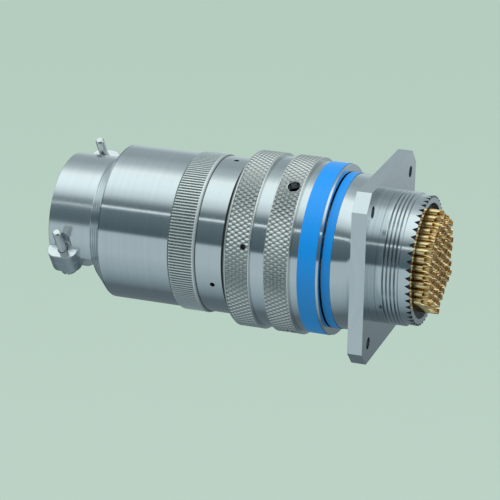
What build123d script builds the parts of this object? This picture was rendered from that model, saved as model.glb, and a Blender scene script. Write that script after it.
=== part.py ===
from build123d import *
import os
from math import cos, radians, sin, sqrt

os.makedirs("parts", exist_ok=True)

# The connector lies along X. X = 0 is the flange face towards the solder contacts.
# The plug is on the minus X side and Z is up. Angles turn from Z towards minus Y.

# Clearances
running_gap = 0.05
thread_gap = 0.05
loose_gap = 0.3
face_gap = 0.05

# Square flange with four mounting holes
flange_width = 47.6
flange_thickness = 4.0
flange_corner = 4.3
mount_inset = 5.6
mount_hole_radius = 1.6

# Bore that both inserts enter
insert_bore_radius = 15.6
mating_depth = 15.5

# Rear barrel for the accessory thread, with the serrated rim at its end
rear_barrel_wall = 2.4
rear_barrel_length = 10.3
tooth_count = 50
tooth_depth = 1.35
tooth_reach = 1.0
tooth_width = 1.5

# Front skirt between the flange and the coupling ring
skirt_wall = 1.9
skirt_flare_height = 0.9
skirt_flare_length = 2.0
skirt_length = 8.5
skirt_band_length = 2.3

# Mating barrel that the plug's ring slides over
mating_barrel_wall = 3.6
mating_barrel_length = 27.0

# Insert and contacts
insert_recess = 1.4
contact_edge = 0.95
contact_radius = 0.85
contact_length = 5.3
contact_rings = 6

# Bayonet
pin_count = 3
pin_radius = 1.3
pin_from_nose = 7.7
pin_proud = 1.5
pin_angle = 31.0
slot_side_gap = 0.3
lock_turn = 110.0
lock_travel = 6.4
sight_hole_radius = 1.75

# Coupling ring, its mouth placed from the flange and its inner lip from the plug's shoulder
ring_mouth_to_flange = 8.8
lip_length = 0.7
band_length = 5.0
front_knurl_length = 6.9
ring_groove_length = 4.0
rear_knurl_length = 6.1
ring_chamfer = 1.1
ring_lip_length = 2.2
ring_slot_wall = 2.2
knurl_height = 1.0
ring_groove_depth = 0.8
band_thickness = 0.15

# Plug shell
nose_gap = 2.0
shoulder_length = 3.2
shoulder_height = 0.95
plug_insert_length = 28.0
interface_seal_thickness = 1.0

# Leaf springs behind the shoulder
spring_gap = 0.4
spring_length = 4.0

# Rear collar
collar_gap = 0.65
collar_length = 7.9
collar_wall = 3.0

# Backshell nut
nut_gap = 0.3
nut_length = 9.7
nut_wall = 3.5

# Backshell sleeve
sleeve_gap = 1.0
sleeve_length = 17.5
sleeve_wall = 4.4
sleeve_seat = 1.5
spigot_length = 5.8

# Cable clamp
cable_bore_radius = 11.0
clamp_length = 12.4
clamp_step = 2.2
clamp_wall = 4.2
clamp_angle = 31.0
lug_height = 5.6
lug_thickness = 3.0
lug_edge = 3.0
lug_length = 8.6
lug_corner = 2.8
screw_inset = 0.2
screw_radius = 1.25
screw_hole_radius = 1.45
screw_head_radius = 2.4
screw_head_height = 1.8
screw_proud = 7.3
washer_radius = 2.7
washer_thickness = 0.6
relief_width = 5.2
saddle_length = 6.0
saddle_drop = 1.8
saddle_wall = 2.8
saddle_ear_thickness = 3.2

# Radii that follow from the bores and the walls round them
rear_barrel_radius = insert_bore_radius + rear_barrel_wall
mating_barrel_radius = insert_bore_radius + mating_barrel_wall
insert_radius = insert_bore_radius - running_gap
skirt_radius = mating_barrel_radius + skirt_wall
skirt_root_radius = skirt_radius + skirt_flare_height
ring_bore_radius = mating_barrel_radius + loose_gap
shoulder_radius = ring_bore_radius - running_gap
journal_radius = shoulder_radius - shoulder_height
slot_start_radius = mating_barrel_radius - loose_gap
slot_floor_radius = mating_barrel_radius + pin_proud + loose_gap
ring_neck_radius = slot_floor_radius + ring_slot_wall
knurl_radius = ring_neck_radius + knurl_height
ring_groove_radius = knurl_radius - ring_groove_depth
collar_radius = journal_radius + collar_wall
nut_radius = journal_radius + nut_wall
sleeve_bore_radius = journal_radius - sleeve_seat
sleeve_radius = sleeve_bore_radius + sleeve_wall
clamp_inner_radius = cable_bore_radius + clamp_step
clamp_outer_radius = clamp_inner_radius + clamp_wall
saddle_inner_radius = clamp_inner_radius - saddle_drop

# Other sizes that follow
mount_spacing = flange_width - 2 * mount_inset
contact_pitch = (insert_bore_radius - contact_edge - contact_radius) / contact_rings
slot_width = 2 * (pin_radius + slot_side_gap)
spring_width = ring_bore_radius - journal_radius - loose_gap
spring_thickness = spring_gap - face_gap
seat_height = lug_height - lug_thickness
screw_offset = clamp_outer_radius - screw_inset
lug_reach = screw_offset + lug_edge

# Places along the axis that follow from the lengths
rim_end = rear_barrel_length
insert_face = rim_end - insert_recess
flange_front = -flange_thickness
nose_end = flange_front - mating_barrel_length
insert_front = nose_end + mating_depth
pin_place = nose_end + pin_from_nose
ring_mouth = flange_front - ring_mouth_to_flange
band_front = ring_mouth - lip_length
band_back = band_front - band_length
shoulder_front = nose_end - nose_gap
shoulder_back = shoulder_front - shoulder_length
ring_lip_front = shoulder_back - spring_gap
ring_end = ring_lip_front - ring_lip_length
groove_back = ring_end + ring_chamfer + rear_knurl_length
groove_front = groove_back + ring_groove_length
front_knurl = groove_front + front_knurl_length
collar_front = ring_end - collar_gap
collar_back = collar_front - collar_length
nut_front = collar_back - nut_gap
nut_back = nut_front - nut_length
seal_front = insert_front - face_gap
plug_insert_front = seal_front - interface_seal_thickness
plug_insert_back = plug_insert_front - plug_insert_length
sleeve_front = nut_back - sleeve_gap
sleeve_end = sleeve_front - sleeve_length
clamp_start = sleeve_end - (sleeve_radius - clamp_outer_radius)
clamp_end = clamp_start - clamp_length
lug_centre = clamp_end + lug_length / 2


def turned(*points):
    """Turns a closed outline of (along, radius) points about the connector's axis."""
    with BuildSketch(Plane.XY) as outline:
        with BuildLine():
            Polyline(*points, close=True)
        make_face()
    revolve(outline.sketch, axis=Axis.X)


def across(x, angle=0.0):
    """Plane square to the axis at x, its Y direction turned by angle from Z."""
    sideways = (0, cos(radians(angle)), sin(radians(angle)))
    return Plane(origin=(x, 0, 0), x_dir=sideways, z_dir=(1, 0, 0))


def outward(x, angle, radius=0.0):
    """Plane at x and radius that looks outwards from the axis at the given angle."""
    away = Vector(0, -sin(radians(angle)), cos(radians(angle)))
    return Plane(origin=Vector(x, 0, 0) + away * radius, x_dir=(1, 0, 0), z_dir=away)


def contact_field(x, length):
    """A six-sided field of square contacts on the plane at x, each of the given length along the axis."""
    with BuildSketch(Plane.YZ.offset(x)) as field:
        for column in range(-contact_rings, contact_rings + 1):
            count = 2 * contact_rings + 1 - abs(column)
            for row in range(count):
                place = (
                    column * contact_pitch * sqrt(3) / 2,
                    (row - (count - 1) / 2) * contact_pitch,
                )
                with Locations(place):
                    RegularPolygon(contact_radius, 4)
    extrude(field.sketch, amount=length)


pin_angles = [pin_angle + 360.0 / pin_count * n for n in range(pin_count)]

# Receptacle shell
with BuildPart() as receptacle_shell:
    turned(
        (rim_end, insert_bore_radius),
        (rim_end, rear_barrel_radius),
        (-flange_thickness / 2, rear_barrel_radius),
        (-flange_thickness / 2, skirt_root_radius),
        (flange_front, skirt_root_radius),
        (flange_front - skirt_flare_length, skirt_radius),
        (flange_front - skirt_length, skirt_radius),
        (flange_front - skirt_length, mating_barrel_radius),
        (nose_end, mating_barrel_radius),
        (nose_end, insert_bore_radius),
    )
    with BuildSketch(Plane.YZ) as flange_outline:
        Rectangle(flange_width, flange_width)
        chamfer(flange_outline.vertices(), flange_corner)
        Circle(insert_bore_radius, mode=Mode.SUBTRACT)
        with GridLocations(mount_spacing, mount_spacing, 2, 2):
            Circle(mount_hole_radius, mode=Mode.SUBTRACT)
    extrude(amount=-flange_thickness)
    tooth_plane = outward(rim_end, 0.0, rear_barrel_radius - tooth_reach)
    with BuildSketch(tooth_plane) as notch:
        Polygon((0, -tooth_width / 2), (0, tooth_width / 2), (-tooth_depth, 0), align=None)
    notch_cut = extrude(notch.sketch, amount=2 * tooth_reach, mode=Mode.PRIVATE)
    add(
        [notch_cut.rotate(Axis.X, 360.0 / tooth_count * n) for n in range(tooth_count)],
        mode=Mode.SUBTRACT,
    )
receptacle_shell.part.label = "receptacle_shell"

# Bayonet pins
with BuildPart() as bayonet_pins:
    for angle in pin_angles:
        with BuildSketch(outward(pin_place, angle, insert_bore_radius)):
            Circle(pin_radius)
    extrude(amount=mating_barrel_radius + pin_proud - insert_bore_radius)
    with BuildSketch(Plane.YZ.offset(nose_end)):
        Circle(mating_barrel_radius)
    extrude(amount=mating_barrel_length, mode=Mode.SUBTRACT)
bayonet_pins.part.label = "bayonet_pins"

# Insert
with BuildPart() as receptacle_insert:
    with BuildSketch(Plane.YZ.offset(insert_front)):
        Circle(insert_radius)
    extrude(amount=insert_face - insert_front)
receptacle_insert.part.label = "receptacle_insert"

# Contacts on the receptacle's side
with BuildPart() as receptacle_contacts:
    contact_field(insert_face, contact_length)
receptacle_contacts.part.label = "receptacle_contacts"

# Colour band on the skirt
with BuildPart() as receptacle_band:
    turned(
        (flange_front - skirt_length + skirt_band_length, skirt_radius),
        (flange_front - skirt_length + skirt_band_length, skirt_radius + band_thickness),
        (flange_front - skirt_length, skirt_radius + band_thickness),
        (flange_front - skirt_length, skirt_radius),
    )
receptacle_band.part.label = "receptacle_band"

# Plug shell
with BuildPart() as plug_shell:
    turned(
        (shoulder_front, insert_bore_radius),
        (shoulder_front, shoulder_radius),
        (shoulder_back, shoulder_radius),
        (shoulder_back, journal_radius),
        (sleeve_front, journal_radius),
        (sleeve_front, insert_bore_radius),
    )
plug_shell.part.label = "plug_shell"

# Seal on the plug's shoulder, which the receptacle's nose presses on
with BuildPart() as nose_seal:
    turned(
        (shoulder_front, insert_bore_radius),
        (shoulder_front, mating_barrel_radius),
        (nose_end - loose_gap, mating_barrel_radius),
        (nose_end - loose_gap, insert_bore_radius),
    )
nose_seal.part.label = "nose_seal"

# Plug insert
with BuildPart() as plug_insert:
    with BuildSketch(Plane.YZ.offset(plug_insert_front)):
        Circle(insert_radius)
    extrude(amount=-plug_insert_length)
plug_insert.part.label = "plug_insert"

# Soft seal between the two inserts
with BuildPart() as interface_seal:
    with BuildSketch(Plane.YZ.offset(seal_front)):
        Circle(insert_radius)
    extrude(amount=-interface_seal_thickness)
interface_seal.part.label = "interface_seal"

# Contacts on the plug's side
with BuildPart() as plug_contacts:
    contact_field(plug_insert_back, -contact_length)
plug_contacts.part.label = "plug_contacts"

# Leaf springs
with BuildPart() as leaf_springs:
    for angle in pin_angles:
        with BuildSketch(across(shoulder_back, angle)):
            with Locations((0, journal_radius + spring_width / 2 + running_gap)):
                Rectangle(spring_length, spring_width)
    extrude(amount=-spring_thickness)
leaf_springs.part.label = "leaf_springs"

# Room for one bayonet pin in the coupling ring: a helical slot and its straight entry from the mouth
with BuildPart() as pin_slot:
    slot_pitch = lock_travel * 360.0 / lock_turn
    slot_radius = (slot_start_radius + slot_floor_radius) / 2
    slot_depth = slot_floor_radius - slot_start_radius
    with BuildLine() as slot_path:
        Helix(slot_pitch, lock_travel, slot_radius, center=(pin_place, 0, 0), direction=(1, 0, 0))
    slot_plane = Plane(slot_path.line @ 0, x_dir=(0, 0, 1), z_dir=slot_path.line % 0)
    with BuildSketch(slot_plane) as slot_section:
        Rectangle(slot_depth, slot_width)
    sweep(slot_section.sketch, slot_path.line, is_frenet=True)
    entry_length = ring_mouth - pin_place - lock_travel
    with BuildSketch(outward(pin_place + lock_travel, lock_turn, slot_start_radius)) as entry_outline:
        Circle(slot_width / 2)
        Rectangle(entry_length, slot_width, align=(Align.MIN, Align.CENTER))
    extrude(entry_outline.sketch, amount=slot_depth)

# Coupling ring
with BuildPart() as coupling_ring:
    turned(
        (ring_mouth, ring_bore_radius),
        (ring_mouth, ring_neck_radius),
        (front_knurl, ring_neck_radius),
        (front_knurl, knurl_radius),
        (groove_front, knurl_radius),
        (groove_front, ring_groove_radius),
        (groove_back, ring_groove_radius),
        (groove_back, knurl_radius),
        (ring_end + ring_chamfer, knurl_radius),
        (ring_end, knurl_radius - ring_chamfer),
        (ring_end, journal_radius + running_gap),
        (ring_lip_front, journal_radius + running_gap),
        (ring_lip_front, ring_bore_radius),
    )
    for angle in pin_angles:
        add(pin_slot.part.rotate(Axis.X, angle), mode=Mode.SUBTRACT)
        with BuildSketch(outward(pin_place, angle, slot_start_radius)):
            Circle(sight_hole_radius)
        extrude(amount=knurl_radius, mode=Mode.SUBTRACT)
coupling_ring.part.label = "coupling_ring"

# Colour band on the coupling ring
with BuildPart() as coupling_band:
    turned(
        (band_front, ring_neck_radius),
        (band_front, ring_neck_radius + band_thickness),
        (band_back, ring_neck_radius + band_thickness),
        (band_back, ring_neck_radius),
    )
coupling_band.part.label = "coupling_band"

# Rear collar
with BuildPart() as rear_collar:
    turned(
        (collar_front, journal_radius + thread_gap),
        (collar_front, collar_radius),
        (collar_back, collar_radius),
        (collar_back, journal_radius + thread_gap),
    )
rear_collar.part.label = "rear_collar"

# Backshell nut
with BuildPart() as backshell_nut:
    turned(
        (nut_front, journal_radius + thread_gap),
        (nut_front, nut_radius),
        (nut_back, nut_radius),
        (nut_back, journal_radius + thread_gap),
    )
backshell_nut.part.label = "backshell_nut"

# Backshell sleeve
with BuildPart() as backshell_sleeve:
    turned(
        (sleeve_front, sleeve_bore_radius),
        (sleeve_front, sleeve_radius),
        (sleeve_end, sleeve_radius),
        (sleeve_end, sleeve_bore_radius),
    )
backshell_sleeve.part.label = "backshell_sleeve"

# Cable clamp, turned cone with half a shell and two lugs
screw_places = [(lug_centre, -screw_offset), (lug_centre, screw_offset)]
with BuildPart() as clamp_body:
    turned(
        (sleeve_end + spigot_length, cable_bore_radius),
        (sleeve_end + spigot_length, sleeve_bore_radius - thread_gap),
        (sleeve_end, sleeve_bore_radius - thread_gap),
        (sleeve_end, sleeve_radius),
        (clamp_start, clamp_outer_radius),
        (clamp_start, cable_bore_radius),
    )
    with BuildSketch(across(clamp_end, clamp_angle)):
        Circle(clamp_outer_radius)
        Circle(clamp_inner_radius, mode=Mode.SUBTRACT)
        with Locations((0, seat_height)):
            below = (Align.CENTER, Align.MAX)
            Rectangle(2 * lug_reach, 2 * lug_reach, align=below, mode=Mode.SUBTRACT)
    extrude(amount=clamp_length)
    with BuildSketch(outward(0, clamp_angle, seat_height)) as lug_outline:
        with Locations((lug_centre, 0)):
            Rectangle(lug_length, 2 * lug_reach)
        fillet(lug_outline.vertices(), lug_corner)
        with Locations((lug_centre, 0)):
            Rectangle(lug_length, 2 * clamp_inner_radius, mode=Mode.SUBTRACT)
        with Locations(*screw_places):
            Circle(screw_radius + thread_gap, mode=Mode.SUBTRACT)
    extrude(amount=lug_thickness)
    with BuildSketch(outward(0, clamp_angle, seat_height)):
        with Locations(*screw_places):
            Circle(screw_radius + thread_gap)
    extrude(amount=lug_thickness, mode=Mode.SUBTRACT)
    with BuildSketch(outward(0, clamp_angle, lug_height)):
        with Locations(*screw_places):
            Circle(relief_width / 2)
        for side in (Align.MAX, Align.MIN):
            offset_to_screw = screw_offset if side == Align.MIN else -screw_offset
            with Locations((lug_centre, offset_to_screw)):
                Rectangle(relief_width, relief_width, align=(Align.CENTER, side))
    extrude(amount=clamp_outer_radius, mode=Mode.SUBTRACT)
clamp_body.part.label = "clamp_body"

# Saddle that closes the clamp
with BuildPart() as clamp_saddle:
    with BuildSketch(across(clamp_end, clamp_angle)):
        Circle(saddle_inner_radius + saddle_wall)
        Circle(saddle_inner_radius, mode=Mode.SUBTRACT)
        with Locations((0, seat_height - face_gap)):
            above = (Align.CENTER, Align.MIN)
            Rectangle(2 * lug_reach, 2 * lug_reach, align=above, mode=Mode.SUBTRACT)
    extrude(amount=saddle_length)
    with BuildSketch(outward(0, clamp_angle, seat_height)) as ear_outline:
        with Locations((lug_centre, 0)):
            Rectangle(lug_length, 2 * lug_reach)
        fillet(ear_outline.vertices(), lug_corner)
        with Locations((lug_centre, 0)):
            Rectangle(lug_length, 2 * saddle_inner_radius + saddle_wall, mode=Mode.SUBTRACT)
        with Locations(*screw_places):
            Circle(screw_hole_radius, mode=Mode.SUBTRACT)
    extrude(amount=-saddle_ear_thickness)
clamp_saddle.part.label = "clamp_saddle"

# Washers under the screw heads
washer_seat = seat_height - saddle_ear_thickness
with BuildPart() as clamp_washers:
    with BuildSketch(outward(0, clamp_angle, washer_seat)):
        with Locations(*screw_places):
            Circle(washer_radius)
            Circle(screw_hole_radius, mode=Mode.SUBTRACT)
    extrude(amount=-washer_thickness)
clamp_washers.part.label = "clamp_washers"

# Clamp screws
head_seat = washer_seat - washer_thickness
with BuildPart() as clamp_screws:
    with BuildSketch(outward(0, clamp_angle, head_seat)):
        with Locations(*screw_places):
            Circle(screw_head_radius)
    extrude(amount=-screw_head_height)
    with BuildSketch(outward(0, clamp_angle, head_seat)):
        with Locations(*screw_places):
            Circle(screw_radius)
    extrude(amount=lug_height + screw_proud - head_seat)
clamp_screws.part.label = "clamp_screws"

for piece in (
    receptacle_shell,
    bayonet_pins,
    receptacle_insert,
    receptacle_contacts,
    receptacle_band,
    plug_shell,
    nose_seal,
    plug_insert,
    interface_seal,
    plug_contacts,
    leaf_springs,
    coupling_ring,
    coupling_band,
    rear_collar,
    backshell_nut,
    backshell_sleeve,
    clamp_body,
    clamp_saddle,
    clamp_washers,
    clamp_screws,
):
    export_step(piece.part, f"parts/{piece.part.label}.step")
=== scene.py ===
"""Circular bayonet connector, mated: steel shells, knurled coupling ring, blue bands, gold solder cups."""

import math

import bmesh
import bpy
import numpy as np
from mathutils import Euler, Matrix, Vector


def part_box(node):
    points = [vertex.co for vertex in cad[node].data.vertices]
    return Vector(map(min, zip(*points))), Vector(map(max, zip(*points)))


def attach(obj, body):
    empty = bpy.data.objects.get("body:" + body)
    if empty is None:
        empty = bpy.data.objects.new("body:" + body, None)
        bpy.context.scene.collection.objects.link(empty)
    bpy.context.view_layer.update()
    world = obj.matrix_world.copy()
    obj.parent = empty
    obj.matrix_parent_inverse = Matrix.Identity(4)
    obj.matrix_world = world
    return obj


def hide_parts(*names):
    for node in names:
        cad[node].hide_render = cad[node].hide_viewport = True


MM = 0.001
MICRON = 0.001 * MM
HAIR = 0.02 * MM
TURN = 2 * np.pi
AXIS = np.array([1.0, 0.0, 0.0])

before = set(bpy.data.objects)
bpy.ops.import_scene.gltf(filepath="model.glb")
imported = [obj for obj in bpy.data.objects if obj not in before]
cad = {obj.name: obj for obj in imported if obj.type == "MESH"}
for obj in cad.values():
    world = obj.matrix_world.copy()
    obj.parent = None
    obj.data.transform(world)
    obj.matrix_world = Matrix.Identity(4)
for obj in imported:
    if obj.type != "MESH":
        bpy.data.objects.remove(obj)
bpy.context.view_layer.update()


# Places and radii read from the model's nodes, in metres
def low_x(node):
    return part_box(node)[0].x


def high_x(node):
    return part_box(node)[1].x


def read_vectors(items, label):
    """A vector value of a mesh's points or faces as an (n, 3) array."""
    values = np.empty(len(items) * 3, np.float32)
    items.foreach_get(label, values)
    return values.reshape(-1, 3)


def node_points(node):
    return read_vectors(cad[node].data.vertices, "co").astype(float)


def radii(node):
    """Smallest and largest distance of a node's points from the connector's axis."""
    away = np.hypot(*node_points(node)[:, 1:].T)
    return away.min(), away.max()


rim_end = high_x("receptacle_shell")
ring_mouth = high_x("coupling_ring")
ring_end = low_x("coupling_ring")
knurl_crest = radii("coupling_ring")[1]
nut_back = low_x("backshell_nut")
nut_front = high_x("backshell_nut")
journal_bore, nut_crest = radii("backshell_nut")
collar_middle = (low_x("rear_collar") + high_x("rear_collar")) / 2
collar_front = high_x("rear_collar")
collar_bore, collar_radius = radii("rear_collar")
sleeve_back = low_x("backshell_sleeve")
sleeve_bore, sleeve_radius = radii("backshell_sleeve")


# Directions about the axis. An angle is measured from Z towards minus Y
def outwards(angle):
    """Straight away from the axis: minus the sine along Y, the cosine along Z."""
    return np.array([0.0, -math.sin(angle), math.cos(angle)])


def onwards(angle):
    """Round the axis, a quarter turn on from outwards: minus the cosine along Y, minus the sine along Z."""
    return np.array([0.0, -math.cos(angle), -math.sin(angle)])


def about_axis(x, radius, angle):
    """Points at x along the axis and at a radius from it: minus the sine along Y, the cosine along Z."""
    x, radius, angle = np.broadcast_arrays(x, radius, angle)
    return np.stack([x, -radius * np.sin(angle), radius * np.cos(angle)], -1)


def full_turn(steps):
    """That many equal steps round, the last one short of the first again."""
    return np.arange(steps) * TURN / steps


# Meshes from arrays
def new_object(name, data):
    """An object at the origin, in the scene."""
    thing = bpy.data.objects.new(name, data)
    bpy.context.scene.collection.objects.link(thing)
    return thing


def smooth(mesh, sharp):
    """Smooth shading, apart from edges that turn by more than sharp degrees."""
    mesh.shade_smooth()
    mesh.set_sharp_from_angle(angle=math.radians(sharp))


def build(name, points, faces, sharp=32.0, hollow=None):
    """An object at the origin from (n, 3) points and (m, k) corner numbers, smooth up to an angle of
    sharp degrees. The last argument weights each point's painted groove shade, from 0 to 1, by its depth."""
    sides = faces.shape[1]
    used, corners = np.unique(faces.ravel(), return_inverse=True)
    mesh = bpy.data.meshes.new(name)
    mesh.vertices.add(len(used))
    mesh.vertices.foreach_set("co", points[used].astype(np.float32).ravel())
    mesh.loops.add(len(corners))
    mesh.loops.foreach_set("vertex_index", corners.astype(np.int32))
    mesh.polygons.add(len(faces))
    mesh.polygons.foreach_set("loop_start", np.arange(len(faces), dtype=np.int32) * sides)
    mesh.update(calc_edges=True)
    if hollow is not None:
        depths = mesh.attributes.new("hollow", "FLOAT", "POINT").data
        depths.foreach_set("value", hollow[used].astype(np.float32))
    mesh.validate()
    smooth(mesh, sharp)
    return new_object(name, mesh)


def merge_points(mesh):
    """Joins points that lie within a micrometre and drops the faces that vanish with them."""
    work = bmesh.new()
    work.from_mesh(mesh)
    bmesh.ops.remove_doubles(work, verts=work.verts, dist=MICRON)
    bmesh.ops.dissolve_degenerate(work, edges=work.edges, dist=0.1 * MICRON)
    work.to_mesh(mesh)
    work.free()


def close_poles(piece, sharp):
    """Joins the points that a ring of no radius leaves on one spot, and smooths the piece again."""
    merge_points(piece.data)
    smooth(piece.data, sharp)


def grid_faces(rows, columns, wrap_rows=False):
    """Corner numbers of the four-sided faces of a grid of points whose columns close into a ring."""
    row, column = np.meshgrid(np.arange(rows if wrap_rows else rows - 1), np.arange(columns), indexing="ij")
    next_row = (row + 1) % rows
    next_column = (column + 1) % columns
    corners = ((row, column), (next_row, column), (next_row, next_column), (row, next_column))
    return np.stack([r * columns + c for r, c in corners], -1).reshape(-1, 4)


def open_holes(place, turn, reach, holes):
    """Moves the grid points that lie in a hole straight out from its middle to its edge, as measured on a
    cylinder of radius reach, and tells which they were. Each hole is (x, angle, radius)."""
    inside = np.zeros(place.shape, bool)
    for hole_x, hole_angle, hole_radius in holes:
        along = place - hole_x
        around = ((turn - hole_angle + np.pi) % TURN - np.pi) * reach
        away = np.hypot(along, around)
        near = away < hole_radius
        grow = hole_radius / np.maximum(away, MICRON)
        place = np.where(near, hole_x + along * grow, place)
        turn = np.where(near, hole_angle + around * grow / reach, turn)
        inside |= near
    return place, turn, inside


def relief_ring(name, x, angles, radius, root, hollow_depth, sharp=32.0, holes=()):
    """A closed ring whose outer skin has radius[i, j] at x[i] and angles[j], over an inner skin of the
    same grid at the root radius. In a hole the outer skin goes down to the root and has no faces. Each
    point's weight of painted shade is the share of the shade depth by which it lies under the highest one."""
    rows, columns = radius.shape
    count = rows * columns
    place, turn = np.meshgrid(x, angles, indexing="ij")
    place, turn, inside = open_holes(place, turn, radius.max(), holes)
    outer = about_axis(place, np.where(inside, root, radius), turn).reshape(-1, 3)
    inner = about_axis(place, root, turn).reshape(-1, 3)
    below = np.arange(count) + np.where(inside.ravel(), 0, count)
    skin = grid_faces(rows, columns)
    skin = skin[~inside.ravel()[skin].all(1)]
    here = np.arange(columns)
    after = (here + 1) % columns
    top = count - columns
    low_end = np.stack([here, count + here, count + after, after], -1)
    high_end = np.stack([count + top + here, top + here, top + after, count + top + after], -1)
    faces = np.concatenate([skin[:, ::-1], below[skin], low_end, high_end])
    hollow = np.clip((radius.max() - radius) / hollow_depth, 0, 1).ravel()
    return build(name, np.concatenate([outer, inner]), faces, sharp, hollow=np.tile(hollow, 2))


def turned_ring(name, outline, steps=160, sharp=32.0):
    """A closed (x, radius) outline turned about the axis. The outline runs from the bore's low end
    forwards."""
    outline = np.asarray(outline, float)
    points = about_axis(outline[:, :1], outline[:, 1:], full_turn(steps)[None, :]).reshape(-1, 3)
    return build(name, points, grid_faces(len(outline), steps, wrap_rows=True), sharp)


def bevelled_tube(name, back, front, bore, radius, back_bevel, front_bevel):
    """A tube from back to front whose outer edges are cut off at 45 degrees by their bevels."""
    return turned_ring(name, [
        (back, bore), (front, bore), (front, radius - front_bevel), (front - front_bevel, radius),
        (back + back_bevel, radius), (back, radius - back_bevel),
    ])


# Meshes that start as a copy of a node's
COPY_SHARP = 30.0


def cad_copy(name, node, bevel=0.0):
    """A new object with the node's mesh, its points merged and, with a bevel, the edges that turn by more
    than 35 degrees cut off to that width."""
    mesh = cad[node].data.copy()
    merge_points(mesh)
    if "custom_normal" in mesh.attributes:
        mesh.attributes.remove(mesh.attributes["custom_normal"])
    smooth(mesh, COPY_SHARP)
    piece = new_object(name, mesh)
    if bevel:
        edge = piece.modifiers.new("soft_edges", "BEVEL")
        edge.width = bevel
        edge.segments = 2
        edge.limit_method = "ANGLE"
        edge.angle_limit = math.radians(35)
        edge.harden_normals = False
    return piece


def turn_down(piece, x_from, x_to, old_radius, radius, slack=0.05 * MM):
    """Moves every point between x_from and x_to that lies within slack of the old radius to the given
    one, by the ratio of the given radius to its own."""
    mesh = piece.data
    points = read_vectors(mesh.vertices, "co")
    away = np.hypot(points[:, 1], points[:, 2])
    chosen = (points[:, 0] > x_from) & (points[:, 0] < x_to) & (np.abs(away - old_radius) < slack)
    points[chosen, 1:] *= (radius / away[chosen])[:, None]
    mesh.vertices.foreach_set("co", points.ravel())
    mesh.update()


def cut_away(piece, points, faces):
    """Takes the closed form with these points and faces out of a piece."""
    mesh = bpy.data.meshes.new("cutter")
    mesh.from_pydata(points.tolist(), [], faces)
    cutter = new_object("cutter", mesh)
    cut = piece.modifiers.new("cut", "BOOLEAN")
    cut.object = cutter
    cut.operation = "DIFFERENCE"
    cut.solver = "EXACT"
    bpy.context.view_layer.update()
    done = bpy.data.meshes.new_from_object(piece.evaluated_get(bpy.context.evaluated_depsgraph_get()))
    piece.modifiers.clear()
    piece.data = done
    bpy.data.objects.remove(cutter)
    bpy.data.meshes.remove(mesh)
    smooth(piece.data, COPY_SHARP)


def drill(piece, holes, floor, mouth, sides=24):
    """Cuts round holes into a piece from the mouth radius down to the floor radius. Each is (x, angle,
    radius): its rim is the cosine along the axis less the sine onwards, times its radius."""
    turns = full_turn(sides)[:, None]
    rim = list(range(sides))
    walls = [(k, (k + 1) % sides, sides + (k + 1) % sides, sides + k) for k in rim]
    faces = walls + [tuple(rim[::-1]), tuple(sides + k for k in rim)]
    for x, angle, radius in holes:
        ring = x * AXIS + radius * (np.cos(turns) * AXIS - np.sin(turns) * onwards(angle))
        points = np.concatenate([ring + height * outwards(angle) for height in (floor, mouth)])
        cut_away(piece, points, faces)


# Receptacle shell with the accessory thread on its rear barrel, and one narrow groove in the plain land
thread_crest = 18.0 * MM
thread_root = 17.5 * MM
thread_depth = thread_crest - thread_root
thread_pitch = 1.05 * MM
thread_start = 2.3 * MM
thread_stop = 6.9 * MM
thread_flank = 0.24
barrel_end = 7.2 * MM
barrel_wall = 0.3 * MM
land_groove = [0.9 * MM, 0.96 * MM, 1.1 * MM, 1.16 * MM]
land_groove_depth = 0.12 * MM
tooth_depth = 1.35 * MM


def thread_relief(columns=200, per_pitch=12):
    """Radius at x and angle: the crest less a V groove that climbs one pitch a turn, each flank
    thread_flank pitches wide. Before it is the plain land, after it a bevel down to the root."""
    angles = full_turn(columns)
    thread = np.arange(thread_start, thread_stop, thread_pitch / per_pitch)
    x = np.concatenate([[0.0], land_groove, [2.0 * MM], thread, [thread_stop + 0.1 * MM, barrel_end]])
    phase = (x[:, None] - thread_start) / thread_pitch - angles[None, :] / TURN
    cut = thread_depth * np.clip(1 - np.abs(phase % 1 - 0.5) / thread_flank, 0, 1)
    threaded = (x > thread_start + 0.1 * MM) & (x < thread_stop - 0.05 * MM)
    radius = thread_crest - cut * threaded[:, None]
    radius[2:4] -= land_groove_depth
    radius[-1] = thread_root + HAIR
    return x, angles, radius


rear_thread = relief_ring("rear_thread", *thread_relief(), thread_root - barrel_wall, 3 * thread_depth)
receptacle = cad_copy("threaded_receptacle_shell", "receptacle_shell")
turn_down(receptacle, -0.1 * MM, rim_end + MM, thread_crest, thread_root)


# Coupling ring: a knurled band with the sight holes, and one behind it with the index hole
knurl_depth = 0.34 * MM
knurl_pitch = 2.1 * MM
knurl_count = 112
knurl_flank = 0.44
knurl_land = 0.25 * MM
knurl_root = knurl_crest - knurl_depth
knurl_wall_root = knurl_crest - 1.2 * MM
front_band = (ring_mouth - 14.8 * MM, ring_mouth - 7.9 * MM)
rear_band = (ring_end + 0.4 * MM, ring_end + 7.2 * MM)
ring_back_bevel = 0.4 * MM
sight_x = ring_mouth - 10.5 * MM
sight_radius = 1.8 * MM
sight_holes = [(sight_x, math.radians(31.0 + 120.0 * n), sight_radius) for n in range(3)]
index_hole = (ring_end + 5.36 * MM, math.radians(75.7), 0.7 * MM)
hole_depth = 1.2 * MM


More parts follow.
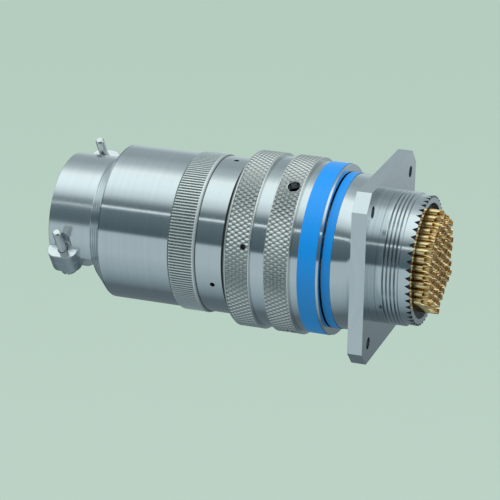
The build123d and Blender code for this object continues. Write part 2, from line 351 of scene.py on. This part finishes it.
def knurl_relief(band, along_steps=8, around_steps=6):
    """Radius at x and angle: small-topped diamonds left by two sets of V grooves that cross. The height
    rises with the distance to the nearer groove, over knurl_flank pitches. A plain land and a bevel
    follow at each end."""
    start, stop = band[0] + knurl_land, band[1] - knurl_land
    steps = round((stop - start) / (knurl_pitch / along_steps))
    x = np.linspace(start, stop, steps + 1)
    angles = full_turn(knurl_count * around_steps)
    along, around = x[:, None] / knurl_pitch, angles[None, :] * knurl_count / TURN
    to_groove = [np.abs((family + 0.5) % 1 - 0.5) for family in (along + around, along - around)]
    height = np.clip(np.minimum(*to_groove) / knurl_flank, 0, 1)
    radius = knurl_crest - knurl_depth * (1 - height)
    before = [band[0] - HAIR, band[0] + 0.08 * MM, start - 0.01 * MM]
    after = [stop + 0.01 * MM, band[1] - 0.08 * MM, band[1] + HAIR]
    edge = np.full((1, len(angles)), knurl_crest)
    low = edge - 0.1 * MM
    radius = np.concatenate([low, edge, edge, radius, edge, edge, low])
    return np.concatenate([before, x, after]), angles, radius


def rear_knurl_relief():
    """The knurl of the rear band, with one more row at the ring's end that lies lower by the bevel
    there."""
    x, angles, radius = knurl_relief(rear_band)
    last = np.full((1, len(angles)), knurl_crest - ring_back_bevel)
    return np.concatenate([[ring_end - HAIR], x]), angles, np.concatenate([last, radius])


ring_body = cad_copy("coupling_ring_body", "coupling_ring")
for band in (front_band, rear_band):
    turn_down(ring_body, band[0] - HAIR, band[1] + HAIR, knurl_crest, knurl_root - HAIR)
drill(ring_body, [index_hole], knurl_root - hole_depth, knurl_crest)
front_knurl = relief_ring(
    "front_knurl", *knurl_relief(front_band), knurl_wall_root, knurl_depth, holes=sight_holes)
rear_knurl = relief_ring(
    "rear_knurl", *rear_knurl_relief(), knurl_wall_root, knurl_depth, holes=[index_hole])


# Ribbed nut
rib_count = 166
rib_depth = 0.4 * MM
rib_front = nut_front - 0.8 * MM
rib_back = nut_back + 2.15 * MM


def rib_relief(per_rib=6):
    """Radius at x and angle: straight ribs, high over half of each pitch and low over the rest, between a
    back bevel and a plain front end. Each row is (x, fall below the crest in mm, share of the ribs'
    depth)."""
    angles = full_turn(rib_count * per_rib)
    groove = np.abs(angles * rib_count / TURN % 1 - 0.5) < 0.25
    rows = [
        (rib_back, 0.25, 0.5), (rib_back + 0.2 * MM, 0.0, 1.0), (rib_back + 0.4 * MM, 0.0, 1.0),
        (rib_front - 0.4 * MM, 0.0, 1.0), (rib_front - 0.15 * MM, 0.0, 1.0), (rib_front, 0.0, 0.0),
        (nut_front - 0.6 * MM, 0.03, 0.0), (nut_front - 0.3 * MM, 0.15, 0.0), (nut_front, 0.45, 0.0),
    ]
    x, fall, share = np.array(rows).T
    return x, angles, nut_crest - fall[:, None] * MM - share[:, None] * groove[None, :] * rib_depth


# The nut's painted shade darkens its rib grooves and its front bevel
nut = relief_ring("ribbed_nut", *rib_relief(), journal_bore, 1.3 * rib_depth, sharp=28)


# Rear collar with its spanner holes, and the sleeve behind the nut
spanner_radius = 0.7 * MM
spanner_holes = [
    (collar_middle + shift * MM, math.radians(angle), spanner_radius)
    for shift, angle in ((-0.4, 0.3), (0.4, 109.3), (0.02, 229.3))
]
collar = bevelled_tube(
    "drilled_collar", nut_front + 0.04 * MM, collar_front, collar_bore, collar_radius, 0.12 * MM, 0.8 * MM)
drill(collar, spanner_holes, collar_radius - hole_depth, collar_radius + MM)
sleeve = bevelled_tube(
    "bevelled_sleeve", sleeve_back, rib_back - HAIR, sleeve_bore, sleeve_radius, 0.2 * MM, 0.4 * MM)


# Cable clamp: fine grooves turned into the cone in front of it
clamp = cad_copy("clamp_half_shell", "clamp_body", bevel=0.25 * MM)
saddle = cad_copy("clamp_saddle_bar", "clamp_saddle", bevel=0.25 * MM)
cone_length = 4.0 * MM
cone_grooves = (1.0, 2.1, 3.1)
cone_groove_half = 0.14
cone_skin = 0.1
cone_groove_floor = -0.02


def cone_outline():
    """A closed line along the cone, which rises at 45 degrees: up by a thin skin, with V grooves that just
    reach into the cone, and back inside it. Each step is (way along, height over the cone) in mm."""
    steps = [(0.04, 0.0), (0.1, cone_skin)]
    for middle in cone_grooves:
        start, stop = middle - cone_groove_half, middle + cone_groove_half
        steps += [(start, cone_skin), (middle, cone_groove_floor), (stop, cone_skin)]
    steps += [(3.9, cone_skin), (3.99, 0.0), (3.99, -0.5), (0.6, -0.5)]
    along, height = np.array(steps[::-1]).T * MM
    return np.stack([sleeve_back - cone_length + along, sleeve_radius - cone_length + along + height], -1)


cone = turned_ring("grooved_cone", cone_outline(), sharp=25)


# Clamp screws with slotted heads and a fine thread, square to the clamp's face
clamp_turn = math.radians(31.0)
screw_up = outwards(clamp_turn)
screw_side = -onwards(clamp_turn)
screw_heights = node_points("clamp_screws") @ screw_up
screw_low = screw_heights.min()
screw_high = screw_heights.max()
head_radius = 2.4 * MM
head_height = 1.8 * MM
shank_radius = 1.25 * MM
screw_pitch = 0.45 * MM
screw_groove = 0.09 * MM
screw_offset = (node_points("clamp_screws") @ screw_side).max() - head_radius
screw_x = (low_x("clamp_screws") + high_x("clamp_screws")) / 2
slot_half_width = 0.3 * MM
slot_depth = 0.8 * MM

# Faces of a box whose corners are counted along the slot's width, then its length, then its depth
BOX_FACES = [(0, 2, 3, 1), (4, 5, 7, 6), (0, 1, 5, 4), (2, 6, 7, 3), (0, 4, 6, 2), (1, 3, 7, 5)]


def screw(name, side, columns=24, per_pitch=4):
    """Rings of (height, radius) about the screw's own line: a bevelled head, then a shank whose radius
    falls by a cosine wave that climbs one pitch a turn, then the tip. A straight slot is cut across the
    head."""
    turns = full_turn(columns)
    seat = screw_low + head_height
    head = np.array([
        (screw_low, 0), (screw_low, head_radius - 0.4 * MM), (screw_low + 0.3 * MM, head_radius),
        (seat, head_radius), (seat, shank_radius),
    ])
    shank = np.arange(seat + 0.2 * MM, screw_high - 0.5 * MM, screw_pitch / per_pitch)
    tip = np.array([
        (screw_high - 0.4 * MM, shank_radius - 0.05 * MM), (screw_high, shank_radius - 0.4 * MM),
        (screw_high, 0),
    ])
    wave = 0.5 - 0.5 * np.cos(shank[:, None] / screw_pitch * TURN - turns[None, :])
    flat = np.ones((1, columns))
    height = np.concatenate([head[:, 0], shank, tip[:, 0]])
    radius = np.concatenate([head[:, 1:] * flat, shank_radius - screw_groove * wave, tip[:, 1:] * flat])
    centre = screw_x * AXIS + screw_side * screw_offset * side
    across = np.cos(turns)[:, None] * AXIS + np.sin(turns)[:, None] * screw_side
    points = centre + height[:, None, None] * screw_up + radius[..., None] * across
    piece = build(name, points.reshape(-1, 3), grid_faces(len(height), columns)[:, ::-1], sharp=50)
    close_poles(piece, 50)
    slot = [
        x * AXIS + y * screw_side + z * screw_up
        for z in (-MM, slot_depth) for y in (-3 * MM, 3 * MM) for x in (-slot_half_width, slot_half_width)
    ]
    cut_away(piece, centre + screw_up * screw_low + np.array(slot), BOX_FACES)
    return piece


screws = [screw("clamp_screw_near", -1), screw("clamp_screw_far", 1)]


# Solder cups on both inserts
cup_pitch = 2.3 * MM
cup_rings = 6
cup_radius = 0.94 * MM
cup_wall = 0.26 * MM
cup_sides = 14
cup_scoop = 1.5 * MM
cup_depth = 2.9 * MM
cup_shoulder = 0.3 * MM
cup_open_to = math.radians(160)
cup_sway = 0.8
cup_sway_step = 2.4
cup_shortfall = 0.2 * MM
cup_shortfall_step = 1.7


def cup_places():
    """Centres (y, z) of the contacts: upright columns of a hexagon, each one shorter further from the
    middle, which stand half the square root of three of a pitch apart."""
    places = []
    for column in range(-cup_rings, cup_rings + 1):
        count = 2 * cup_rings + 1 - abs(column)
        rows = (np.arange(count) - (count - 1) / 2) * cup_pitch
        places.append(np.stack([np.full(count, column * cup_pitch * math.sqrt(3) / 2), rows], -1))
    return np.concatenate(places)


def solder_cups(name, base, tip, way):
    """Round bars from base to tip, way +1 or -1 along X, each with a hollow end. The side that faces
    cup_open_to is cut back by the scoop's length, which falls off with the cosine of the angle from
    there. From cup to cup that direction and the bar's length sway by a sine and a cosine."""
    turns = full_turn(cup_sides)
    places = cup_places()
    number = np.arange(len(places))
    facing = cup_open_to + cup_sway * np.sin(cup_sway_step * number)[:, None]
    scoop = cup_scoop * np.clip((np.cos(turns[None, :] - facing) - 0.1) / 0.5, 0, 1)
    length = abs(tip - base) - cup_shortfall * (1 + np.cos(cup_shortfall_step * number))[:, None]
    rim = length - scoop
    shoulder = length - cup_scoop - cup_shoulder + 0 * scoop
    floor = length - cup_depth + 0 * scoop
    cup_bore = cup_radius - cup_wall
    outside = [(0 * scoop, 0), (0 * scoop, cup_radius), (shoulder, cup_radius), (rim, cup_radius)]
    rings = outside + [(rim, cup_bore), (floor, cup_bore), (floor, 0)]
    along = base + way * np.stack([ring[0] for ring in rings], 1)
    across = np.array([ring[1] for ring in rings])[None, :, None]
    y = places[:, 0, None, None] + across * np.cos(turns)
    z = places[:, 1, None, None] + across * np.sin(turns)
    points = np.stack([along, y, z], -1).reshape(-1, 3)
    faces = grid_faces(len(rings), cup_sides)
    faces = (faces[None] + number[:, None, None] * len(rings) * cup_sides).reshape(-1, 4)
    # The faces inside each cup take the second material, which paints shade there
    hollow = np.repeat(np.arange(len(rings) - 1) >= len(outside), cup_sides)
    piece = build(name, points, faces if way < 0 else faces[:, ::-1], sharp=50)
    piece.data.polygons.foreach_set("material_index", np.tile(hollow, len(places)).astype(np.int32))
    close_poles(piece, 50)
    return piece


cups = solder_cups("solder_cups", high_x("receptacle_insert"), high_x("receptacle_contacts"), 1)
plug_cups = solder_cups("plug_solder_cups", low_x("plug_insert"), low_x("plug_contacts"), -1)


# Node groups
def new_group(name, inputs, outputs):
    """An empty shader node group with the named inputs and outputs."""
    group = bpy.data.node_groups.new(name, "ShaderNodeTree")
    for label, kind, value in inputs:
        socket = group.interface.new_socket(label, in_out="INPUT", socket_type=kind)
        socket.default_value = value
    for label, kind in outputs:
        group.interface.new_socket(label, in_out="OUTPUT", socket_type=kind)
    return group, group.nodes.new("NodeGroupInput"), group.nodes.new("NodeGroupOutput")


def feed(tree, socket, value):
    """Links a value that comes out of another node, or sets a plain one."""
    if isinstance(value, bpy.types.NodeSocket):
        tree.links.new(value, socket)
    else:
        socket.default_value = value


def math_node(tree, operation, a, b=0.0):
    node = tree.nodes.new("ShaderNodeMath")
    node.operation = operation
    feed(tree, node.inputs[0], a)
    feed(tree, node.inputs[1], b)
    return node.outputs[0]


def mix_colours(tree, blend, factor, a, b):
    """Colours a and b, in sockets 6 and 7, blended by the factor in socket 0. They come out of socket 2."""
    node = tree.nodes.new("ShaderNodeMix")
    node.data_type = "RGBA"
    node.blend_type = blend
    for number, value in ((0, factor), (6, a), (7, b)):
        feed(tree, node.inputs[number], value)
    return node.outputs[2]


def noise(tree, scale, detail, line=None, place=None):
    """Noise between 0 and 1 along a number, or in space."""
    node = tree.nodes.new("ShaderNodeTexNoise")
    node.noise_dimensions = "3D" if line is None else "1D"
    node.inputs["Scale"].default_value = scale
    node.inputs["Detail"].default_value = detail
    tree.links.new(place if line is None else line, node.inputs["Vector" if line is None else "W"])
    return node.outputs["Fac"]


def surface_marks_and_shade():
    """Lathe rings that run round the axis on round faces and on flat ends alike, as noise along x plus
    the radius, a tone and a roughness that wander, and painted shade: grooves fade to a darker colour
    by the mesh's point attribute of groove depth."""
    group, start, end = new_group(
        "surface_marks_and_shade",
        [("Colour", "NodeSocketColor", (0.6, 0.6, 0.6, 1)),
         ("Groove shade colour", "NodeSocketColor", (0.2, 0.2, 0.2, 1)),
         ("Rings per metre", "NodeSocketFloat", 4000.0), ("Depth", "NodeSocketFloat", 0.2),
         ("Tone", "NodeSocketFloat", 0.1), ("Roughness", "NodeSocketFloat", 0.3)],
        [("Colour", "NodeSocketColor"), ("Roughness", "NodeSocketFloat"), ("Normal", "NodeSocketVector")],
    )
    link = group.links.new
    place = group.nodes.new("ShaderNodeTexCoord").outputs["Object"]
    parts = group.nodes.new("ShaderNodeSeparateXYZ")
    link(place, parts.inputs[0])
    squares = [math_node(group, "MULTIPLY", parts.outputs[k], parts.outputs[k]) for k in (1, 2)]
    radius = math_node(group, "SQRT", math_node(group, "ADD", *squares))
    travel = math_node(group, "ADD", parts.outputs[0], radius)
    rings = math_node(group, "MULTIPLY", travel, start.outputs["Rings per metre"])
    bump = group.nodes.new("ShaderNodeBump")
    bump.inputs["Distance"].default_value = 0.2 * MM
    link(start.outputs["Depth"], bump.inputs["Strength"])
    link(noise(group, 1.0, 3.0, line=rings), bump.inputs["Height"])
    link(bump.outputs[0], end.inputs["Normal"])
    streaks = noise(group, 700.0, 4.0, line=travel)
    clouds = noise(group, 90.0, 3.0, place=place)
    wander = math_node(group, "SUBTRACT", math_node(group, "ADD", streaks, clouds), 1.0)
    tone = math_node(group, "ADD", math_node(group, "MULTIPLY", wander, start.outputs["Tone"]), 1.0)
    toned = mix_colours(group, "MULTIPLY", 1.0, start.outputs["Colour"], tone)
    groove = group.nodes.new("ShaderNodeAttribute")
    groove.attribute_name = "hollow"
    faded = mix_colours(group, "MIX", groove.outputs["Fac"], toned, start.outputs["Groove shade colour"])
    link(faded, end.inputs["Colour"])
    rougher = math_node(group, "ADD", math_node(group, "MULTIPLY", clouds, 0.06), -0.03)
    link(math_node(group, "ADD", start.outputs["Roughness"], rougher), end.inputs["Roughness"])
    return group


MARKS_AND_SHADE = surface_marks_and_shade()


def surface_finish(name, colour, metallic, roughness, rings=0.0, depth=0.0, tone=0.0, hollow=None):
    """A material whose tone and roughness wander a little. rings and depth add lathe marks; the last
    argument is the painted shade colour that grooves fade to."""
    look = bpy.data.materials.new(name)
    look.use_nodes = True
    tree = look.node_tree
    link = tree.links.new
    shader = tree.nodes["Principled BSDF"]
    shader.inputs["Metallic"].default_value = metallic
    marks_and_groove_shade = tree.nodes.new("ShaderNodeGroup")
    marks_and_groove_shade.node_tree = MARKS_AND_SHADE
    marks_and_groove_shade.inputs["Colour"].default_value = (*colour, 1)
    marks_and_groove_shade.inputs["Groove shade colour"].default_value = (*(hollow or colour), 1)
    marks_and_groove_shade.inputs["Rings per metre"].default_value = rings
    marks_and_groove_shade.inputs["Depth"].default_value = depth
    marks_and_groove_shade.inputs["Tone"].default_value = tone
    marks_and_groove_shade.inputs["Roughness"].default_value = roughness
    link(marks_and_groove_shade.outputs["Colour"], shader.inputs["Base Color"])
    link(marks_and_groove_shade.outputs["Roughness"], shader.inputs["Roughness"])
    if rings:
        link(marks_and_groove_shade.outputs["Normal"], shader.inputs["Normal"])
    return look


def metal(name, colour, roughness, **marks):
    return surface_finish(name, colour, 1.0, roughness, **marks)


def plain(name, colour, roughness, **marks):
    return surface_finish(name, colour, 0.0, roughness, **marks)


LATHE = {"rings": 9000.0, "depth": 0.04}
# The groove colours of the turned, knurled and ribbed steels are painted shade in the thread, knurl and rib
# grooves
steel = metal("turned_steel", (0.62, 0.66, 0.68), 0.11, tone=0.08, hollow=(0.1, 0.11, 0.12), **LATHE)
clamp_steel = metal("satin_steel", (0.64, 0.68, 0.7), 0.19, tone=0.1, **LATHE)
knurl_steel = metal("knurled_steel", (0.84, 0.85, 0.83), 0.3, tone=0.05, hollow=(0.3, 0.31, 0.3))
rib_steel = metal("ribbed_steel", (0.9, 0.93, 0.92), 0.55, tone=0.05, hollow=(0.17, 0.18, 0.18))
# Dark steel of the bayonet pins and leaf springs; on the coupling ring it is painted shade in the index
# hole
dark_steel = metal("dark_steel", (0.16, 0.16, 0.17), 0.35, tone=0.1)
# Painted shade: near-black put where there is only shade, in the rim's notches, on the collar's front face
# and in its spanner holes
painted_shade = plain("painted_shade", (0.03, 0.03, 0.035), 0.5, tone=0.2)
screw_steel = metal("screw_steel", (0.66, 0.68, 0.68), 0.2, tone=0.06)
insulator = plain("insulator", (0.012, 0.011, 0.012), 0.45, tone=0.2)
rubber = plain("seal_rubber", (0.03, 0.03, 0.032), 0.6, tone=0.2)
gold = metal("gold", (1.0, 0.74, 0.38), 0.28, tone=0.12)
# Painted shade inside the solder cups
gold_shade = metal("gold_hollow", (0.9, 0.56, 0.3), 0.35, tone=0.2)
blue = plain("blue_band", (0.004, 0.275, 0.8), 0.35, tone=0.04)


def dress(piece, *looks):
    piece.data.materials.clear()
    for look in looks:
        piece.data.materials.append(look)


# Faces that take a piece's second material, which paints shade on them
def darken(piece, faces):
    piece.data.polygons.foreach_set("material_index", faces.astype(np.int32))


def face_places(piece):
    """Centres and normals of a piece's faces, and the centres' distances from the axis."""
    centre = read_vectors(piece.data.polygons, "center")
    normal = read_vectors(piece.data.polygons, "normal")
    return centre, normal, np.hypot(centre[:, 1], centre[:, 2])


def in_notches(piece):
    """Which faces are in the rim's notches: those below the surface that look neither in nor ahead."""
    centre, normal, radius = face_places(piece)
    outward = (centre[:, 1:] * normal[:, 1:]).sum(1) / np.maximum(radius, HAIR)
    notch = (centre[:, 0] > rim_end - tooth_depth - HAIR) & (radius < thread_root - 0.05 * MM)
    return notch & (outward > -0.3) & (normal[:, 0] < 0.95)


def in_holes(piece, holes, surface):
    """Which faces are walls and floors of round holes, each (x, angle, radius): those on the hole's side
    of the axis, within its radius of its line, and below the surface."""
    centre, _, radius = face_places(piece)
    found = np.zeros(len(centre), bool)
    for x, angle, hole_radius in holes:
        near = np.hypot(centre[:, 0] - x, centre @ onwards(angle)) < hole_radius * 1.01
        found |= near & (centre @ outwards(angle) > 0) & (radius < surface - 0.05 * MM)
    return found


def ahead(piece):
    """Which faces look forwards, no more than 53 degrees off the axis."""
    return face_places(piece)[1][:, 0] > 0.6


# Pieces to bodies, finishes and painted shade to pieces
for piece, body, replaced, slot, looks in (
    (receptacle, "receptacle", "receptacle_shell", "turned_steel", [steel, painted_shade]),
    (rear_thread, "receptacle", None, "turned_steel", [steel]),
    (cups, "receptacle", "receptacle_contacts", "gold", [gold, gold_shade]),
    (plug_cups, "plug", "plug_contacts", "gold", [gold, gold_shade]),
    (ring_body, "coupling", "coupling_ring", "turned_steel", [steel, dark_steel]),
    (front_knurl, "coupling", None, "turned_steel", [knurl_steel]),
    (rear_knurl, "coupling", None, "turned_steel", [knurl_steel]),
    (nut, "plug", "backshell_nut", "turned_steel", [rib_steel]),
    (collar, "plug", "rear_collar", "turned_steel", [steel, painted_shade]),
    (sleeve, "plug", "backshell_sleeve", "turned_steel", [steel]),
    (clamp, "plug", "clamp_body", "turned_steel", [clamp_steel]),
    (cone, "plug", None, "turned_steel", [steel]),
    (saddle, "plug", "clamp_saddle", "turned_steel", [clamp_steel]),
    (screws[0], "plug", "clamp_screws", "screw_steel", [screw_steel]),
    (screws[1], "plug", None, "screw_steel", [screw_steel]),
):
    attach(piece, body)
    dress(piece, *looks)
    if replaced:
        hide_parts(replaced)
# Painted shade in the rim's notches
darken(receptacle, in_notches(receptacle))
# Painted shade: the index hole's walls and floor take the dark steel
darken(ring_body, in_holes(ring_body, [index_hole], knurl_crest))
# Painted shade on the collar's front face, which lies in the coupling ring's shadow, and in the spanner
# holes
darken(collar, ahead(collar) | in_holes(collar, spanner_holes, collar_radius))

finishes = {
    "bayonet_pins": dark_steel,
    "receptacle_insert": insulator,
    "receptacle_band": blue,
    "plug_shell": steel,
    "nose_seal": rubber,
    "plug_insert": insulator,
    "interface_seal": rubber,
    "leaf_springs": dark_steel,
    "coupling_band": blue,
    "clamp_washers": screw_steel,
}
for node, look in finishes.items():
    dress(cad[node], look)


# Camera, at the photo's angle. Tilt, roll and heading are in degrees
camera_place = Vector((0.12795, -0.47419, 0.18243))
camera_tilt = 69.6815
camera_roll = -0.7535
camera_heading = 19.7446
camera_data = bpy.data.cameras.new("camera")
camera_data.sensor_width = 36.0
camera_data.lens = 140.6
camera = new_object("camera", camera_data)
aim = Euler([math.radians(angle) for angle in (camera_tilt, camera_roll, camera_heading)])
camera.matrix_world = Matrix.Translation(camera_place) @ aim.to_matrix().to_4x4()
bpy.context.scene.camera = camera


# Studio light: a tent all round. Each stop is (degrees from minus Y up over Z, red, blue)
LOWER_BACK = [(-180, 0.60, 0.70), (-163, 0.50, 0.60), (-160, 0.30, 0.38)]
UNDERSIDE = [(-156, 0.17, 0.23), (-122, 0.14, 0.20), (-94, 0.13, 0.19)]
FRONT_SHEET = [(-74, 0.28, 0.39), (-57, 0.40, 0.53), (-42, 0.47, 0.60), (-29, 0.53, 0.66), (0, 0.53, 0.66)]
LOWER_GAP = [(3, 0.09, 0.15), (21, 0.13, 0.20), (36.5, 0.17, 0.25)]
STRIP_LAMP = [(36.8, 1.8, 2.0), (38.2, 1.8, 2.0)]
UPPER_GAP = [(38.5, 0.13, 0.19), (43, 0.16, 0.23), (47, 0.22, 0.30)]
TOP_SHEET = [(52, 0.46, 0.57), (57, 0.72, 0.84), (71, 1.04, 1.19), (84, 1.12, 1.29), (100, 1.16, 1.24)]
UPPER_BACK = [(108, 0.80, 0.92), (116, 0.56, 0.66), (136, 0.38, 0.48), (160, 0.40, 0.50), (180, 0.60, 0.70)]
TENT = LOWER_BACK + UNDERSIDE + FRONT_SHEET + LOWER_GAP + STRIP_LAMP + UPPER_GAP + TOP_SHEET + UPPER_BACK


def tent_world():
    """Light from all round whose colour follows the angle about the connector's axis, the arc tangent of
    Z over minus Y. Green is 0.45 of the red and 0.6 of the blue."""
    world = bpy.data.worlds.new("studio")
    world.use_nodes = True
    tree = world.node_tree
    link = tree.links.new
    place = tree.nodes.new("ShaderNodeTexCoord")
    parts = tree.nodes.new("ShaderNodeSeparateXYZ")
    link(place.outputs["Generated"], parts.inputs[0])
    minus_y = math_node(tree, "MULTIPLY", parts.outputs[1], -1.0)
    angle = math_node(tree, "ARCTAN2", parts.outputs[2], minus_y)
    share = math_node(tree, "ADD", math_node(tree, "DIVIDE", angle, TURN), 0.5)
    ramp = tree.nodes.new("ShaderNodeValToRGB")
    stops = ramp.color_ramp.elements
    for number, (degrees, red_part, blue_part) in enumerate(TENT):
        at = (degrees + 180) / 360
        stop = stops[number] if number < 2 else stops.new(at)
        stop.position = at
        stop.color = (red_part, 0.45 * red_part + 0.6 * blue_part, blue_part, 1)
    link(share, ramp.inputs[0])
    link(ramp.outputs[0], tree.nodes["Background"].inputs[0])
    return world


def top_lamp(angle, distance, width, power):
    """A square lamp over the axis at an angle from Z towards minus Y, which faces the connector."""
    data = bpy.data.lights.new("top_lamp", "AREA")
    data.shape = "SQUARE"
    data.size = width
    data.energy = power
    lamp = new_object("top_lamp", data)
    aim = Matrix((AXIS, -onwards(angle), outwards(angle))).transposed()
    over_middle = Vector((-0.03, 0, 0))
    lamp.matrix_world = Matrix.Translation(over_middle + Vector(outwards(angle)) * distance) @ aim.to_4x4()
    lamp.visible_glossy = False


def pale_floor(drop, reach, grey, glow_colour):
    """A flat sheet below the connector that glows evenly and takes the connector's soft shade."""
    corners = [(-reach, -reach), (reach, -reach), (reach, 2 * reach), (-reach, 2 * reach)]
    mesh = bpy.data.meshes.new("floor")
    mesh.from_pydata([(x, y, -drop) for x, y in corners], [], [(0, 1, 2, 3)])
    floor = new_object("floor", mesh)
    floor.visible_glossy = False
    look = bpy.data.materials.new("floor")
    look.use_nodes = True
    tree = look.node_tree
    tree.nodes.clear()
    matte = tree.nodes.new("ShaderNodeBsdfDiffuse")
    matte.inputs[0].default_value = (grey, grey, grey, 1)
    glow = tree.nodes.new("ShaderNodeEmission")
    glow.inputs[0].default_value = (*glow_colour, 1)
    both = tree.nodes.new("ShaderNodeAddShader")
    out = tree.nodes.new("ShaderNodeOutputMaterial")
    tree.links.new(matte.outputs[0], both.inputs[0])
    tree.links.new(glow.outputs[0], both.inputs[1])
    tree.links.new(both.outputs[0], out.inputs[0])
    mesh.materials.append(look)
    return floor


bpy.context.scene.world = tent_world()
top_lamp(math.radians(20), distance=1.2, width=0.8, power=8.0)
floor = pale_floor(drop=0.42, reach=4.0, grey=0.3, glow_colour=(0.242, 0.363, 0.272))

bpy.context.scene.view_settings.view_transform = "Standard"
